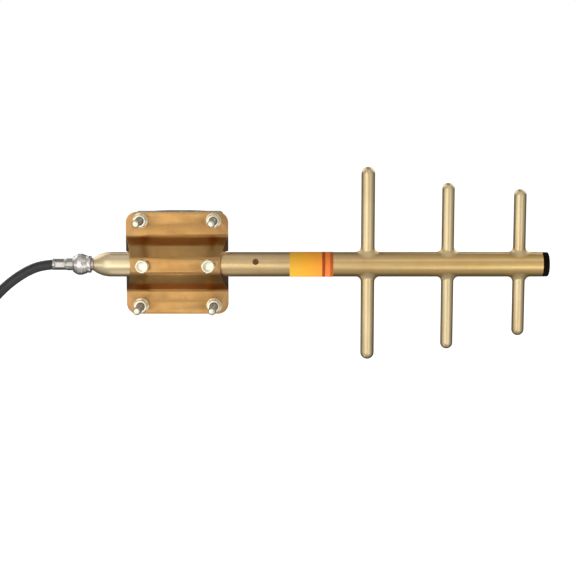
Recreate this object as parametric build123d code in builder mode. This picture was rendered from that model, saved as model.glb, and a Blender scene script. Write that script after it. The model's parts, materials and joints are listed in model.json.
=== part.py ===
from build123d import *

import os
from math import cos, pi, radians, tan

# Three-element yagi antenna for an 800 MHz band, with its mast clamp and coax jumper.
# Origin: on the mast clamp's axis, at the height of the boom's axis.
# +X runs along the boom to its front, +Z up the mast, and the boom stands on the -Y side.
# All sizes are in millimetres.

os.makedirs("parts", exist_ok=True)

# ---------------------------------------------------------------- driving dimensions

# boom
boom_y = -33.7
boom_radius = 12.7
boom_bore = 10.6
boom_rear = -85.5
boom_front = 377.1
nose_length = 18.0
nose_end_radius = 6.6
nose_bore = 5.0
nose_bore_depth = 3.5
cap_length = 6.6
cap_plug_length = 14.0
cap_wall = 2.0
cap_face = 1.0
cap_rim_radius = 1.6
cap_inset = 0.1

# elements: place along the boom, rod radius, length and how far the middle stands off the axis
reflector = dict(x=197.5, radius=7.0, length=199.2, middle=0.6)
driven = dict(x=279.9, radius=6.35, length=172.0, middle=-2.1)
director = dict(x=353.7, radius=6.35, length=151.6, middle=1.7)
weld_reach = 5.0
weld_depth = 5.5
weld_root = 2.0
driven_bore = 4.75
driven_end_wall = 8.0
feed_hole_radius = 1.5
match_rod_radius = 1.6
match_rod_span = (-3.0, 58.0)
match_sleeve_span = (6.0, 56.0)

# bands round the boom
band_thickness = 0.2
label_span = (117.0, 150.3)
stripe_spans = ((150.3, 153.5), (158.5, 161.7))
stripe_gap_span = (153.5, 158.5)

# bracket plate
plate_thickness = 3.0
plate_width = 106.2
plate_height = 106.6
plate_corner = 11.0
plate_face = -23.5
plate_back = plate_face + plate_thickness
# the arch's outer line, as half width and Y, and its bends, from its foot to its crown
arch_foot = (27.6, plate_face)
arch_shoulder = (19.5, -37.0)
arch_crown = (8.0, -49.7)
arch_bends = (5.0, 9.0, 6.0)
crown_length = 91.4
boom_gap = 0.2

# M8 fasteners
screw_radius = 4.0
hex_flats = 13.0
hex_corner_drop = 0.9
tip_chamfer = 0.9
head_height = 5.3
nut_height = 6.5
nut_bore = 4.05
loose_hole = 4.5
washer_hole = 4.3
flat_washer_radius = 8.0
flat_washer_thickness = 1.6
lock_washer_radius = 7.1
lock_washer_thickness = 2.1
lock_washer_split = 0.9

# crown bolts, which hold the boom in the arch
crown_bolt_x = 33.7
crown_bolt_length = 40.0
crown_hole = screw_radius + 0.25
crown_nut_gap = 0.1

# mast clamp
mast_radius = 17.5
clamp_x = 38.0
clamp_z = 44.5
clamp_half_height = 7.5
clamp_half_width = 46.5
clamp_corner = 4.0
seat_gap = 5.0
seat_lip = 12.0
saddle_lip = 22.5
saddle_shoulder = 29.0
saddle_end = -13.5
jaw_lip = 23.0
jaw_neck = 27.5
jaw_shoulder = 29.0
jaw_front = 4.5
jaw_seat = 12.5
jaw_crown = (11.0, 23.5)
jaw_flank = (20.5, 18.5)
clamp_bolt_length = 80.0

# N connectors: places measured from the mating plane towards the cable, and radii
nut_front = -11.6
nut_lip = -8.4
nut_grip = (-2.4, 1.7)
nut_rear = 6.9
flange_front = 1.5
flange_rear = 4.5
crimp_start = 12.5
cable_end = 18.5
ferrule_end = 28.0
pin_end = -8.0
pin_step = -2.5
socket_floor = -9.0
thread_end = -9.6
contact_radius = 0.8
pin_radius = 1.3
socket_radius = 1.5
jack_insulator_radius = 3.2
plug_insulator_radius = 3.45
sleeve_radius = 3.95
socket_bore = 4.05
shank_radius = 5.0
neck_radius = 6.3
plug_radius = 6.2
thread_radius = 7.9
flange_radius = 8.2
coupling_thread_bore = 7.98
coupling_flange_bore = 8.6
coupling_rear_bore = 6.6
coupling_radius = 11.0
flange_play = 0.4
ferrule_radius = 5.7
mating_x = boom_rear - 14.0

# coax jumper: the route of its middle line in the plane of the boom, as X and Z
cable_radius = 5.15
cable_route = [
    (mating_x - cable_end, 0.0),
    (-137.2, 0.0),
    (-158.0, -8.6),
    (-179.5, -24.5),
    (-199.0, -46.5),
    (-213.5, -72.5),
    (-222.5, -104.0),
    (-226.5, -139.0),
    (-227.8, -178.0),
    (-227.2, -219.0),
    (-225.9, -260.0),
    (-225.0, -299.0),
    (-224.6, -331.0),
    (-224.6, -352.0),
]

# feed line inside the boom: its route as X, Y from the boom's axis, and Z
feed_radius = 1.1
feed_core_radius = 0.45
feed_tail = 5.0
feed_route = [
    (-70.0, 0.0, 0.0),
    (-61.0, 0.0, 0.0),
    (-47.0, 1.0, 6.6),
    (-15.0, 0.0, 7.4),
    (20.0, 1.0, 7.2),
    (60.0, 2.5, 6.0),
    (105.0, 4.0, 5.0),
    (150.0, 6.5, 3.0),
    (181.0, 8.7, 0.6),
    (214.0, 8.7, -0.4),
    (239.0, 4.0, 0.0),
    (258.0, 0.0, 0.0),
    (driven["x"] - driven["radius"], 0.0, 0.0),
]
spacer_length = 9.0
spacer_hole = 2.7
feed_spacers = ((82.0, 3.2, 5.6), (130.0, 5.4, 3.9))

# small screw through the boom's wall into the first spacer, at an angle above the front
clip_screw_x = feed_spacers[0][0]
clip_screw_angle = 18.0
clip_screw_hole = 2.1
clip_screw_radius = 1.6


# ------------------------------------------------------------------------- helpers

def save(piece, name):
    """Labels a finished piece and writes it under its own name."""
    piece.part.label = name
    export_step(piece.part, f"parts/{name}.step")


def turned(outline, plane):
    """A turned solid: a closed outline of (along, out) points about the plane's X axis."""
    with BuildPart() as piece:
        with BuildSketch(plane):
            with BuildLine():
                Polyline(*outline, close=True)
            make_face()
        revolve(axis=Axis(plane.origin, plane.x_dir))
    return piece


def ring(start, end, inner, outer):
    """The outline of a plain ring or tube."""
    return [(start, inner), (end, inner), (end, outer), (start, outer)]


def bar(start, end, outer):
    """The outline of a plain round bar."""
    return ring(start, end, 0.0, outer)


def copies(solid, places):
    """The same solid at several places, as separate solids of one node."""
    with BuildPart() as group:
        with Locations(*places):
            add(solid)
    return group


def tangent_radii(points):
    """The largest comfortable arc at each corner of a route."""
    radii = []
    for before, corner, after in zip(points, points[1:], points[2:]):
        first = Vector(*corner) - Vector(*before)
        second = Vector(*after) - Vector(*corner)
        half_turn = radians(first.get_angle(second)) / 2
        radii.append(0.45 * min(first.length, second.length) / tan(half_turn))
    return radii


def routed(points, radius, name):
    """A round cord along straight runs joined by tangent arcs."""
    radii = tangent_radii(points)
    with BuildPart() as cord:
        with BuildLine() as path:
            FilletPolyline(*points, radius=radii)
        start = Plane(origin=path.line @ 0, z_dir=path.line % 0)
        with BuildSketch(start):
            Circle(radius)
        sweep(path=path.line)
    length = path.wires()[0].length
    print(name, "length", round(length, 1), "radii", [round(r, 1) for r in radii])
    print(name, "volume over section times length", cord.part.volume / (pi * radius**2 * length))
    return cord


boom_axis = Plane(origin=(0, boom_y, 0), x_dir=(1, 0, 0), z_dir=(0, -1, 0))
past_boom = boom_radius + 5.0


# ---------------------------------------------------------------------------- boom

elements = (reflector, driven, director)

with BuildPart() as boom_tube:
    with BuildSketch(boom_axis):
        with BuildLine():
            nose = boom_rear + nose_length
            Line((nose, boom_radius), (boom_front, boom_radius))
            Line((boom_front, boom_radius), (boom_front, boom_bore))
            Line((boom_front, boom_bore), (nose, boom_bore))
            Line((nose, boom_bore), (boom_rear + nose_bore_depth, nose_bore))
            Line((boom_rear + nose_bore_depth, nose_bore), (boom_rear, nose_bore))
            Line((boom_rear, nose_bore), (boom_rear, nose_end_radius))
            TangentArc((nose, boom_radius), (boom_rear, nose_end_radius), tangent=(-1, 0))
        make_face()
    revolve(axis=Axis((0, boom_y, 0), (1, 0, 0)))
    for element in elements:
        with BuildSketch(Plane.XY):
            with Locations((element["x"], boom_y)):
                Circle(element["radius"])
        extrude(amount=past_boom, both=True, mode=Mode.SUBTRACT)
    with BuildSketch(Plane.XZ.offset(-boom_y)):
        with Locations((-crown_bolt_x, 0), (crown_bolt_x, 0)):
            Circle(crown_hole)
    extrude(amount=past_boom, both=True, mode=Mode.SUBTRACT)
    clip_plane = Plane.XZ.rotated((-clip_screw_angle, 0, 0))
    screw_normal = clip_plane.z_dir
    screw_plane = Plane(origin=(clip_screw_x, boom_y, 0), x_dir=(1, 0, 0), z_dir=screw_normal)
    with BuildSketch(screw_plane):
        Circle(clip_screw_hole)
    extrude(amount=past_boom, mode=Mode.SUBTRACT)
save(boom_tube, "boom_tube")

with BuildPart() as boom_end_cap:
    with BuildSketch(boom_axis):
        with BuildLine():
            cap_end = boom_front + cap_length
            Polyline(
                (boom_front - cap_plug_length, boom_bore - cap_wall),
                (boom_front + cap_face, boom_bore - cap_wall),
                (boom_front + cap_face, 0.0),
                (cap_end, 0.0),
                (cap_end, boom_radius - cap_inset),
                (boom_front, boom_radius - cap_inset),
                (boom_front, boom_bore),
                (boom_front - cap_plug_length, boom_bore),
                close=True,
            )
        make_face()
    revolve(axis=Axis((0, boom_y, 0), (1, 0, 0)))
    rim = boom_end_cap.edges().filter_by(GeomType.CIRCLE).group_by(Axis.X)[-1]
    fillet(rim, radius=cap_rim_radius)
save(boom_end_cap, "boom_end_cap")

# ------------------------------------------------------------------------ elements


def rod_plane(element):
    """A plane whose X axis runs up the middle of an element."""
    return Plane(origin=(element["x"], boom_y, element["middle"]), x_dir=(0, 0, 1), z_dir=(0, 1, 0))


def domed_rod(element):
    """A straight rod with half-round ends, standing through the boom."""
    half, radius = element["length"] / 2, element["radius"]
    plane = rod_plane(element)
    with BuildPart() as rod:
        with BuildSketch(plane):
            with BuildLine():
                Line((-half, 0), (half, 0))
                RadiusArc((half, 0), (half - radius, radius), -radius)
                Line((half - radius, radius), (radius - half, radius))
                RadiusArc((radius - half, radius), (-half, 0), -radius)
            make_face()
        revolve(axis=Axis(plane.origin, plane.x_dir))
    return rod


def weld_beads(element):
    """The two concave weld fillets where a rod leaves the boom, above and below."""
    radius = element["radius"]
    top = boom_radius + weld_reach
    with BuildPart() as beads:
        for side in (1, -1):
            axis_plane = Plane(
                origin=(element["x"], boom_y, 0), x_dir=(0, 0, side), z_dir=(0, 1, 0)
            )
            with BuildSketch(axis_plane):
                with BuildLine():
                    Line((weld_depth, radius), (top, radius))
                    TangentArc((top, radius), (boom_radius, radius + weld_reach), tangent=(-1, 0))
                    Line((boom_radius, radius + weld_reach), (weld_depth, radius + weld_root))
                    Line((weld_depth, radius + weld_root), (weld_depth, radius))
                make_face()
            revolve(axis=Axis(axis_plane.origin, axis_plane.x_dir))
        with BuildSketch(Plane.YZ.offset(element["x"])):
            with Locations((boom_y, 0)):
                Circle(boom_radius)
        extrude(amount=radius + 2 * weld_reach, both=True, mode=Mode.SUBTRACT)
    return beads


save(domed_rod(reflector), "reflector_element")
save(domed_rod(director), "director_element")
save(weld_beads(reflector), "reflector_welds")
save(weld_beads(driven), "driven_element_welds")
save(weld_beads(director), "director_welds")

# The driven element is a tube with closed ends. The feed enters it from the rear.
driven_half = driven["length"] / 2
driven_tube = domed_rod(driven)
with BuildPart() as driven_element:
    add(driven_tube.part)
    with BuildSketch(Plane.XY.offset(driven["middle"])):
        with Locations((driven["x"], boom_y)):
            Circle(driven_bore)
    extrude(amount=driven_half - driven_end_wall, both=True, mode=Mode.SUBTRACT)
    with BuildSketch(Plane.YZ.offset(driven["x"])):
        with Locations((boom_y, 0)):
            Circle(feed_hole_radius)
    extrude(amount=-driven["radius"] - 1.0, mode=Mode.SUBTRACT)
save(driven_element, "driven_element")

driven_axis = Plane(origin=(driven["x"], boom_y, 0), x_dir=(0, 0, 1), z_dir=(0, 1, 0))
save(turned(bar(*match_rod_span, match_rod_radius), driven_axis), "match_rod")
sleeve_outline = ring(*match_sleeve_span, match_rod_radius, driven_bore)
save(turned(sleeve_outline, driven_axis), "match_rod_sleeve")

# ---------------------------------------------------------------- bands on the boom


def band_outline(span):
    return ring(span[0], span[1], boom_radius, boom_radius + band_thickness)


save(turned(band_outline(label_span), boom_axis), "label_band")
save(turned(band_outline(stripe_gap_span), boom_axis), "stripe_gap_band")
with BuildPart() as stripe_bands:
    for span in stripe_spans:
        add(turned(band_outline(span), boom_axis).part)
save(stripe_bands, "stripe_bands")

# -------------------------------------------------------------- feed line in the boom

feed_points = [(x, boom_y + y, z) for x, y, z in feed_route]
save(routed(feed_points, feed_radius, "feed_line"), "feed_line")

# The core shows at both ends: in the jack's contact and from the line's end to the match rod.
feed_start, feed_end = feed_route[0][0], feed_route[-1][0]
with BuildPart() as feed_line_core:
    add(turned(bar(feed_start - feed_tail, feed_start, feed_core_radius), boom_axis).part)
    match_rod_side = driven["x"] - match_rod_radius + 0.02
    add(turned(bar(feed_end, match_rod_side, feed_core_radius), boom_axis).part)
save(feed_line_core, "feed_line_core")

with BuildPart() as feed_line_spacers:
    for centre, out, up in feed_spacers:
        with BuildSketch(Plane.YZ.offset(centre)):
            with Locations((boom_y, 0)):
                Circle(boom_bore)
                with Locations((out, up)):
                    Circle(spacer_hole, mode=Mode.SUBTRACT)
        extrude(amount=spacer_length / 2, both=True)
    with BuildSketch(screw_plane.offset(3.0)):
        Circle(clip_screw_radius)
    extrude(amount=past_boom, mode=Mode.SUBTRACT)
save(feed_line_spacers, "feed_line_spacers")

# A pan head with a round drive recess, as places out from the boom's axis and radii.
clip_screw_axis = Plane(origin=screw_plane.origin, x_dir=screw_normal, z_dir=(1, 0, 0))
screw_outline = [
    (4.0, 0.0),
    (boom_radius + 0.7, 0.0),
    (boom_radius + 0.7, 1.0),
    (boom_radius + 1.7, 1.0),
    (boom_radius + 1.6, 2.2),
    (boom_radius + 1.0, 2.9),
    (boom_radius, 3.2),
    (boom_radius, clip_screw_radius),
    (4.0, clip_screw_radius),
]
save(turned(screw_outline, clip_screw_axis), "feed_clip_screw")

# -------------------------------------------------------------------- bracket plate


section_plane = Plane(origin=(0, 0, 0), x_dir=(0, 0, 1), z_dir=(1, 0, 0))
half_height, half_width = plate_height / 2, plate_width / 2
end_slant = (half_width - crown_length / 2) / (plate_face - arch_crown[1])


def arch_section(inset):
    """The plate's section under its face line, as height along X and -Y, set in by a depth."""
    foot, shoulder, crown = arch_foot, arch_shoulder, arch_crown
    with BuildSketch() as section:
        with BuildLine():
            FilletPolyline(
                (-half_height, -plate_face),
                (-foot[0], -foot[1]),
                (-shoulder[0], -shoulder[1]),
                (-crown[0], -crown[1]),
                (crown[0], -crown[1]),
                (shoulder[0], -shoulder[1]),
                (foot[0], -foot[1]),
                (half_height, -plate_face),
                radius=[*arch_bends, *reversed(arch_bends)],
            )
            Polyline(
                (half_height, -plate_face),
                (half_height, 0),
                (-half_height, 0),
                (-half_height, -plate_face),
            )
        make_face()
        if inset:
            offset(amount=-inset)
    return section.sketch


def arch_side(inset):
    """The arch from the side, as X and Y: its ends lean in from the flanges to the crown."""
    width = half_width - inset * (1 + end_slant**2) ** 0.5
    top = arch_crown[1] - 1.0
    lean = end_slant * (plate_face - top)
    with BuildSketch() as side:
        with BuildLine():
            Polyline(
                (-width, 0),
                (-width, plate_face),
                (-width + lean, top),
                (width - lean, top),
                (width, plate_face),
                (width, 0),
                close=True,
            )
        make_face()
    return side.sketch


def arch_block(inset):
    """The solid under the plate's face line, between its leaning ends, set in by a depth."""
    with BuildPart() as block:
        with BuildSketch(section_plane):
            add(arch_section(inset))
        extrude(amount=half_width, both=True)
        with BuildSketch(Plane.XY):
            add(arch_side(inset))
        extrude(amount=half_height, both=True, mode=Mode.INTERSECT)
    return block.part


# The plate is a shell: its hollow is the same block again, set in by the thickness. The
# boom lies in a U-shaped cutout in each end of the arch.
with BuildPart() as bracket_plate:
    add(arch_block(0))
    with BuildSketch(Plane.XZ.offset(-plate_back)):
        Rectangle(2 * plate_width, 2 * plate_height)
    extrude(amount=plate_back, mode=Mode.SUBTRACT)
    fillet(
        bracket_plate.edges().filter_by(Axis.Y).group_by(Axis.Z)[0]
        + bracket_plate.edges().filter_by(Axis.Y).group_by(Axis.Z)[-1],
        radius=plate_corner,
    )
    add(arch_block(plate_thickness), mode=Mode.SUBTRACT)
    with BuildSketch(Plane.YZ):
        with Locations((boom_y, 0)):
            Circle(boom_radius + boom_gap)
        with Locations((boom_y / 2, 0)):
            Rectangle(-boom_y, 2 * (boom_radius + boom_gap))
    extrude(amount=half_width, both=True, mode=Mode.SUBTRACT)
    with BuildSketch(Plane.XZ):
        with GridLocations(2 * clamp_x, 2 * clamp_z, 2, 2):
            Circle(loose_hole)
        with Locations((-crown_bolt_x, 0), (crown_bolt_x, 0)):
            Circle(crown_hole)
    extrude(amount=-2 * boom_y, mode=Mode.SUBTRACT)
save(bracket_plate, "bracket_plate")

# ---------------------------------------------------------------------- M8 fasteners


def chamfered_hex(height, bore):
    """A hexagon of the given height from Z 0 up, its corners turned off at the top."""
    corner = hex_flats / 2 / cos(radians(30))
    with BuildPart() as hexagon:
        with BuildSketch():
            RegularPolygon(hex_flats / 2, 6, major_radius=False)
            if bore:
                Circle(bore, mode=Mode.SUBTRACT)
        extrude(amount=height)
        with BuildSketch(Plane.XZ):
            with BuildLine():
                Polyline(
                    (0, 0),
                    (corner + 0.1, 0),
                    (corner + 0.1, height - hex_corner_drop),
                    (hex_flats / 2 - 0.3, height),
                    (0, height),
                    close=True,
                )
            make_face()
        revolve(axis=Axis.Z, mode=Mode.INTERSECT)
    return hexagon


def hex_bolt(length):
    """A bolt with the seat of its head at Z 0, its head above and its shank below."""
    with BuildPart() as bolt:
        add(chamfered_hex(head_height, 0).part)
        with BuildSketch():
            Circle(screw_radius)
        extrude(amount=-length)
        tip = bolt.edges().filter_by(GeomType.CIRCLE).group_by(Axis.Z)[0]
        chamfer(tip, length=tip_chamfer)
    return bolt


def split_washer():
    """A spring lock washer on Z 0, split at one place."""
    with BuildPart() as washer:
        with BuildSketch():
            Circle(lock_washer_radius)
            Circle(washer_hole, mode=Mode.SUBTRACT)
            with Locations(Location((lock_washer_radius - 1.4, 0, 0), -25)):
                Rectangle(6, lock_washer_split, mode=Mode.SUBTRACT)
        extrude(amount=lock_washer_thickness)
    return washer


# Fasteners that face the front have their local Z along -Y, and those at the back along +Y.
def facing_front(x, y, z, turn=0):
    return Location((x, y, z), (90, 0, 0)) * Location((0, 0, 0), (0, 0, turn))


def facing_back(x, y, z, turn=0):
    return Location((x, y, z), (-90, 0, 0)) * Location((0, 0, 0), (0, 0, turn))


crown_face = arch_crown[1]
crown_head_seat = crown_face - lock_washer_thickness
crown_nut_seat = boom_y + boom_radius + crown_nut_gap
crown_turns = ((-crown_bolt_x, 8), (crown_bolt_x, -12))

crown_bolt = hex_bolt(crown_bolt_length).part
crown_bolts = copies(crown_bolt, [facing_front(x, crown_head_seat, 0, t) for x, t in crown_turns])
save(crown_bolts, "crown_bolts")

crown_lock_washers = copies(
    split_washer().part, [facing_front(x, crown_face, 0, 3 * t) for x, t in crown_turns]
)
save(crown_lock_washers, "crown_lock_washers")

crown_nuts = copies(
    chamfered_hex(nut_height, screw_radius).part,
    [facing_back(x, crown_nut_seat, 0, 2 * t) for x, t in crown_turns],
)
save(crown_nuts, "crown_nuts")

# ----------------------------------------------------------------------- mast clamp


def clamp_half(outline, height):
    """A cast clamp half at a height on the mast: its outline, the mast's seat and bolt holes."""
    with BuildPart() as half:
        with BuildSketch(Plane.XY.offset(height - clamp_half_height)):
            with BuildLine():
                Polyline(*outline, close=True)
            make_face()
            Circle(mast_radius, mode=Mode.SUBTRACT)
        extrude(amount=2 * clamp_half_height)
        with BuildSketch(Plane.XZ):
            with Locations((-clamp_x, height), (clamp_x, height)):
                Circle(loose_hole)
        extrude(amount=clamp_bolt_length, both=True, mode=Mode.SUBTRACT)
        ends = half.edges().filter_by(Axis.Y).group_by(Axis.X)
        fillet(ends[0] + ends[-1], radius=clamp_corner)
    return half


def mirrored(points):
    """A half outline for +X, with its mirror image on -X."""
    return points + [(-x, y) for x, y in reversed(points)]


saddle_outline = mirrored(
    [
        (clamp_half_width, plate_back),
        (clamp_half_width, saddle_end),
        (saddle_shoulder, saddle_end),
        (saddle_lip, -seat_gap),
        (seat_lip, -seat_gap),
    ]
)
jaw_outline = mirrored(
    [
        (seat_lip, seat_gap),
        (jaw_lip, seat_gap),
        (jaw_neck, jaw_front),
        (clamp_half_width, jaw_front),
        (clamp_half_width, jaw_seat),
        (jaw_shoulder, jaw_seat),
        jaw_flank,
        jaw_crown,
    ]
)

flat_washer = turned(
    ring(0, flat_washer_thickness, washer_hole, flat_washer_radius),
    Plane(origin=(0, 0, 0), x_dir=(0, 0, 1), z_dir=(0, 1, 0)),
)
lock_seat = plate_face - flat_washer_thickness
nut_seat = lock_seat - lock_washer_thickness
clamp_bolt = hex_bolt(clamp_bolt_length).part
clamp_nut = chamfered_hex(nut_height, nut_bore).part
corner_turns = {(-1, 1): 14, (1, 1): -8, (-1, -1): 22, (1, -1): 3}
corners = [(side * clamp_x, level * clamp_z) for side, level in corner_turns]

for level, row in ((1, "upper"), (-1, "lower")):
    height = level * clamp_z
    save(clamp_half(saddle_outline, height), f"mast_saddle_{row}")
    save(clamp_half(jaw_outline, height), f"rear_jaw_{row}")
    places = [facing_back(side * clamp_x, jaw_seat, height, 9 * side) for side in (-1, 1)]
    save(copies(clamp_bolt, places), f"clamp_bolts_{row}")
    for side, end in ((-1, "left"), (1, "right")):
        turn = corner_turns[(side, level)]
        place = facing_front(side * clamp_x, nut_seat, height, turn)
        save(copies(clamp_nut, [place]), f"clamp_nut_{row}_{end}")

clamp_flat_washers = copies(
    flat_washer.part, [facing_front(x, plate_face, z) for x, z in corners]
)
save(clamp_flat_washers, "clamp_flat_washers")

clamp_lock_washers = copies(
    split_washer().part, [facing_front(x, lock_seat, z, 4 * x) for x, z in corners]
)
save(clamp_lock_washers, "clamp_lock_washers")

# ---------------------------------------------------------------- antenna's N jack

# Its outlines run from the mating plane (0) towards the antenna, as negative places.
jack_plane = Plane(origin=(mating_x, boom_y, 0), x_dir=(-1, 0, 0), z_dir=(0, 1, 0))
neck_end = boom_rear - mating_x
shank_end = neck_end + 13.5
jack_body_outline = [
    (0.0, socket_bore),
    (0.0, thread_radius - 0.8),
    (-0.8, thread_radius),
    (thread_end, thread_radius),
    (thread_end - 0.4, neck_radius),
    (-neck_end, neck_radius),
    (-neck_end, shank_radius),
    (-shank_end, shank_radius),
    (-shank_end, jack_insulator_radius),
    (socket_floor, jack_insulator_radius),
    (socket_floor, socket_bore),
]
save(turned(jack_body_outline, jack_plane), "jack_body")

insulator_start, insulator_end = socket_floor - 0.2, -shank_end + 1.0
jack_insulator_outline = ring(
    insulator_start, insulator_end, socket_radius, jack_insulator_radius
)
save(turned(jack_insulator_outline, jack_plane), "jack_insulator")

# The contact is a socket for the plug's pin, with the feed line's core in its rear end.
contact_end = -shank_end + 0.5
jack_contact_outline = [
    (pin_step, contact_radius + 0.05),
    (pin_step, socket_radius),
    (contact_end, socket_radius),
    (contact_end, feed_core_radius),
    (contact_end + 2.5, feed_core_radius),
    (contact_end + 2.5, 0.0),
    (socket_floor, 0.0),
    (socket_floor, contact_radius + 0.05),
]
save(turned(jack_contact_outline, jack_plane), "jack_contact")

lock_ring_outline = ring(-shank_end - 3.0, -shank_end, feed_radius + 0.1, shank_radius - 0.4)
save(turned(lock_ring_outline, jack_plane), "jack_lock_ring")

# ------------------------------------------------------- N plugs at the jumper's ends

body_outline = [
    (pin_end, plug_insulator_radius),
    (pin_end, sleeve_radius),
    (flange_front, sleeve_radius),
    (flange_front, flange_radius),
    (flange_rear, flange_radius),
    (flange_rear, plug_radius),
    (crimp_start, plug_radius),
    (crimp_start, cable_radius),
    (cable_end, cable_radius),
    (cable_end, 2.0),
    (crimp_start, 2.0),
    (crimp_start, plug_insulator_radius),
]
coupling_nut_outline = [
    (nut_front, coupling_thread_bore),
    (nut_front, coupling_radius - 2.3),
    (nut_lip, coupling_radius - 2.1),
    (nut_grip[0], coupling_radius),
    (nut_grip[1], coupling_radius),
    (flange_rear + flange_play, coupling_radius - 1.6),
    (nut_rear, coupling_radius - 3.0),
    (nut_rear, coupling_rear_bore),
    (flange_rear + flange_play, coupling_rear_bore),
    (flange_rear + flange_play, coupling_flange_bore),
    (flange_front - flange_play, coupling_flange_bore),
    (flange_front - flange_play, coupling_thread_bore),
]
pin_outline = [
    (pin_end, 0.0),
    (pin_end, 0.3),
    (pin_end + 1.0, contact_radius),
    (pin_step, contact_radius),
    (pin_step, pin_radius),
    (cable_end, pin_radius),
    (cable_end, 0.0),
]
plug_outlines = {
    "body": body_outline,
    "coupling_nut": coupling_nut_outline,
    "gasket": ring(0.0, flange_front, sleeve_radius + 0.05, 7.0),
    "insulator": ring(pin_step + 0.1, crimp_start, pin_radius, plug_insulator_radius),
    "pin": pin_outline,
    "ferrule": [
        (crimp_start, cable_radius),
        (ferrule_end, cable_radius),
        (ferrule_end, ferrule_radius - 0.2),
        (ferrule_end - 0.6, ferrule_radius),
        (crimp_start + 1.5, ferrule_radius),
        (crimp_start, ferrule_radius + 0.4),
    ],
}


def plug(plane, prefix):
    """An N plug whose mating plane is the given plane's origin, its X axis to the cable."""
    for name, outline in plug_outlines.items():
        save(turned(outline, plane), f"{prefix}_{name}")


end_x, end_z = cable_route[-1]
plug(Plane(origin=(mating_x, boom_y, 0), x_dir=(-1, 0, 0), z_dir=(0, 1, 0)), "plug")
far_mating = (end_x, boom_y, end_z - cable_end)
plug(Plane(origin=far_mating, x_dir=(0, 0, 1), z_dir=(0, 1, 0)), "far_plug")

cable_points = [(x, boom_y, z) for x, z in cable_route]
save(routed(cable_points, cable_radius, "coax_cable"), "coax_cable")
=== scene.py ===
import json
from math import copysign, cos, radians, sin, sqrt, tau

import bmesh
import bpy
from mathutils import Matrix, Vector, noise


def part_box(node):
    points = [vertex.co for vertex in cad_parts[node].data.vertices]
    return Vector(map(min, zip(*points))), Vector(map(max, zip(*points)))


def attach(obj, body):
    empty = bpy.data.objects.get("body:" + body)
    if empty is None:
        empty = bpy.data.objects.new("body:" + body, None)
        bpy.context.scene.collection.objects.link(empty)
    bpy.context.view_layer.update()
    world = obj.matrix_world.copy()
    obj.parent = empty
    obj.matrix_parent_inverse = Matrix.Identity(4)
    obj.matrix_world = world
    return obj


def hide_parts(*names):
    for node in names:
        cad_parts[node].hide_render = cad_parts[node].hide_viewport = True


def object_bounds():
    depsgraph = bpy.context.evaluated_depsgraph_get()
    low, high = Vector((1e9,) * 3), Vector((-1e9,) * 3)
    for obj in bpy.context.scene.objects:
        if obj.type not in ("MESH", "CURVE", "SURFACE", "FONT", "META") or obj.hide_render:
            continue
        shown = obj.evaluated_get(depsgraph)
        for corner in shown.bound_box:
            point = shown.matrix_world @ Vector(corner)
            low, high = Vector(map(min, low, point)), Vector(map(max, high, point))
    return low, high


# Looks of the yagi antenna: its materials, its detailed fasteners, welds, connectors and cable,
# the studio and the camera. Metres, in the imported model's own frame: +X to the boom's front,
# +Z up the mast, and the boom on the mast's -Y side.

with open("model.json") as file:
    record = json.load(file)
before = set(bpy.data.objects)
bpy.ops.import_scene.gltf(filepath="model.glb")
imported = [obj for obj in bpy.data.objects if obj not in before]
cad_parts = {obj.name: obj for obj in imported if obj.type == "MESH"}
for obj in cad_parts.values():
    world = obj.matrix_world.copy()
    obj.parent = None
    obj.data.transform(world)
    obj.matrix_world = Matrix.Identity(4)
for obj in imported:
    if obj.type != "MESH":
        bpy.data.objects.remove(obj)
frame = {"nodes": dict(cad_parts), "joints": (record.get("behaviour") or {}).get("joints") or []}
cad_low, cad_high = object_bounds()
nodes = frame["nodes"]

MM = 0.001


# ------------------------------------------------------------- places taken from the frame

boom_low, boom_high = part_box("boom_tube")
boom_y = (boom_low.y + boom_high.y) / 2
boom_radius = (boom_high.z - boom_low.z) / 2


# ----------------------------------------------------------------------------- camera

def look_from_front():
    """A long-lens camera on the boom's side, a little above it, as in the photograph."""
    aim = Vector((0.1152, boom_y, -0.0247))
    away = Vector((0.0, -cos(radians(7.5)), sin(radians(7.5))))
    distance = 1.4
    data = bpy.data.cameras.new("camera")
    data.lens = 84.5
    data.sensor_width = 36.0
    camera = bpy.data.objects.new("camera", data)
    bpy.context.scene.collection.objects.link(camera)
    camera.location = aim + distance * away
    camera.rotation_euler = away.to_track_quat("Z", "Y").to_euler()
    bpy.context.scene.camera = camera


# ---------------------------------------------------------------------- shader graphs

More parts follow.
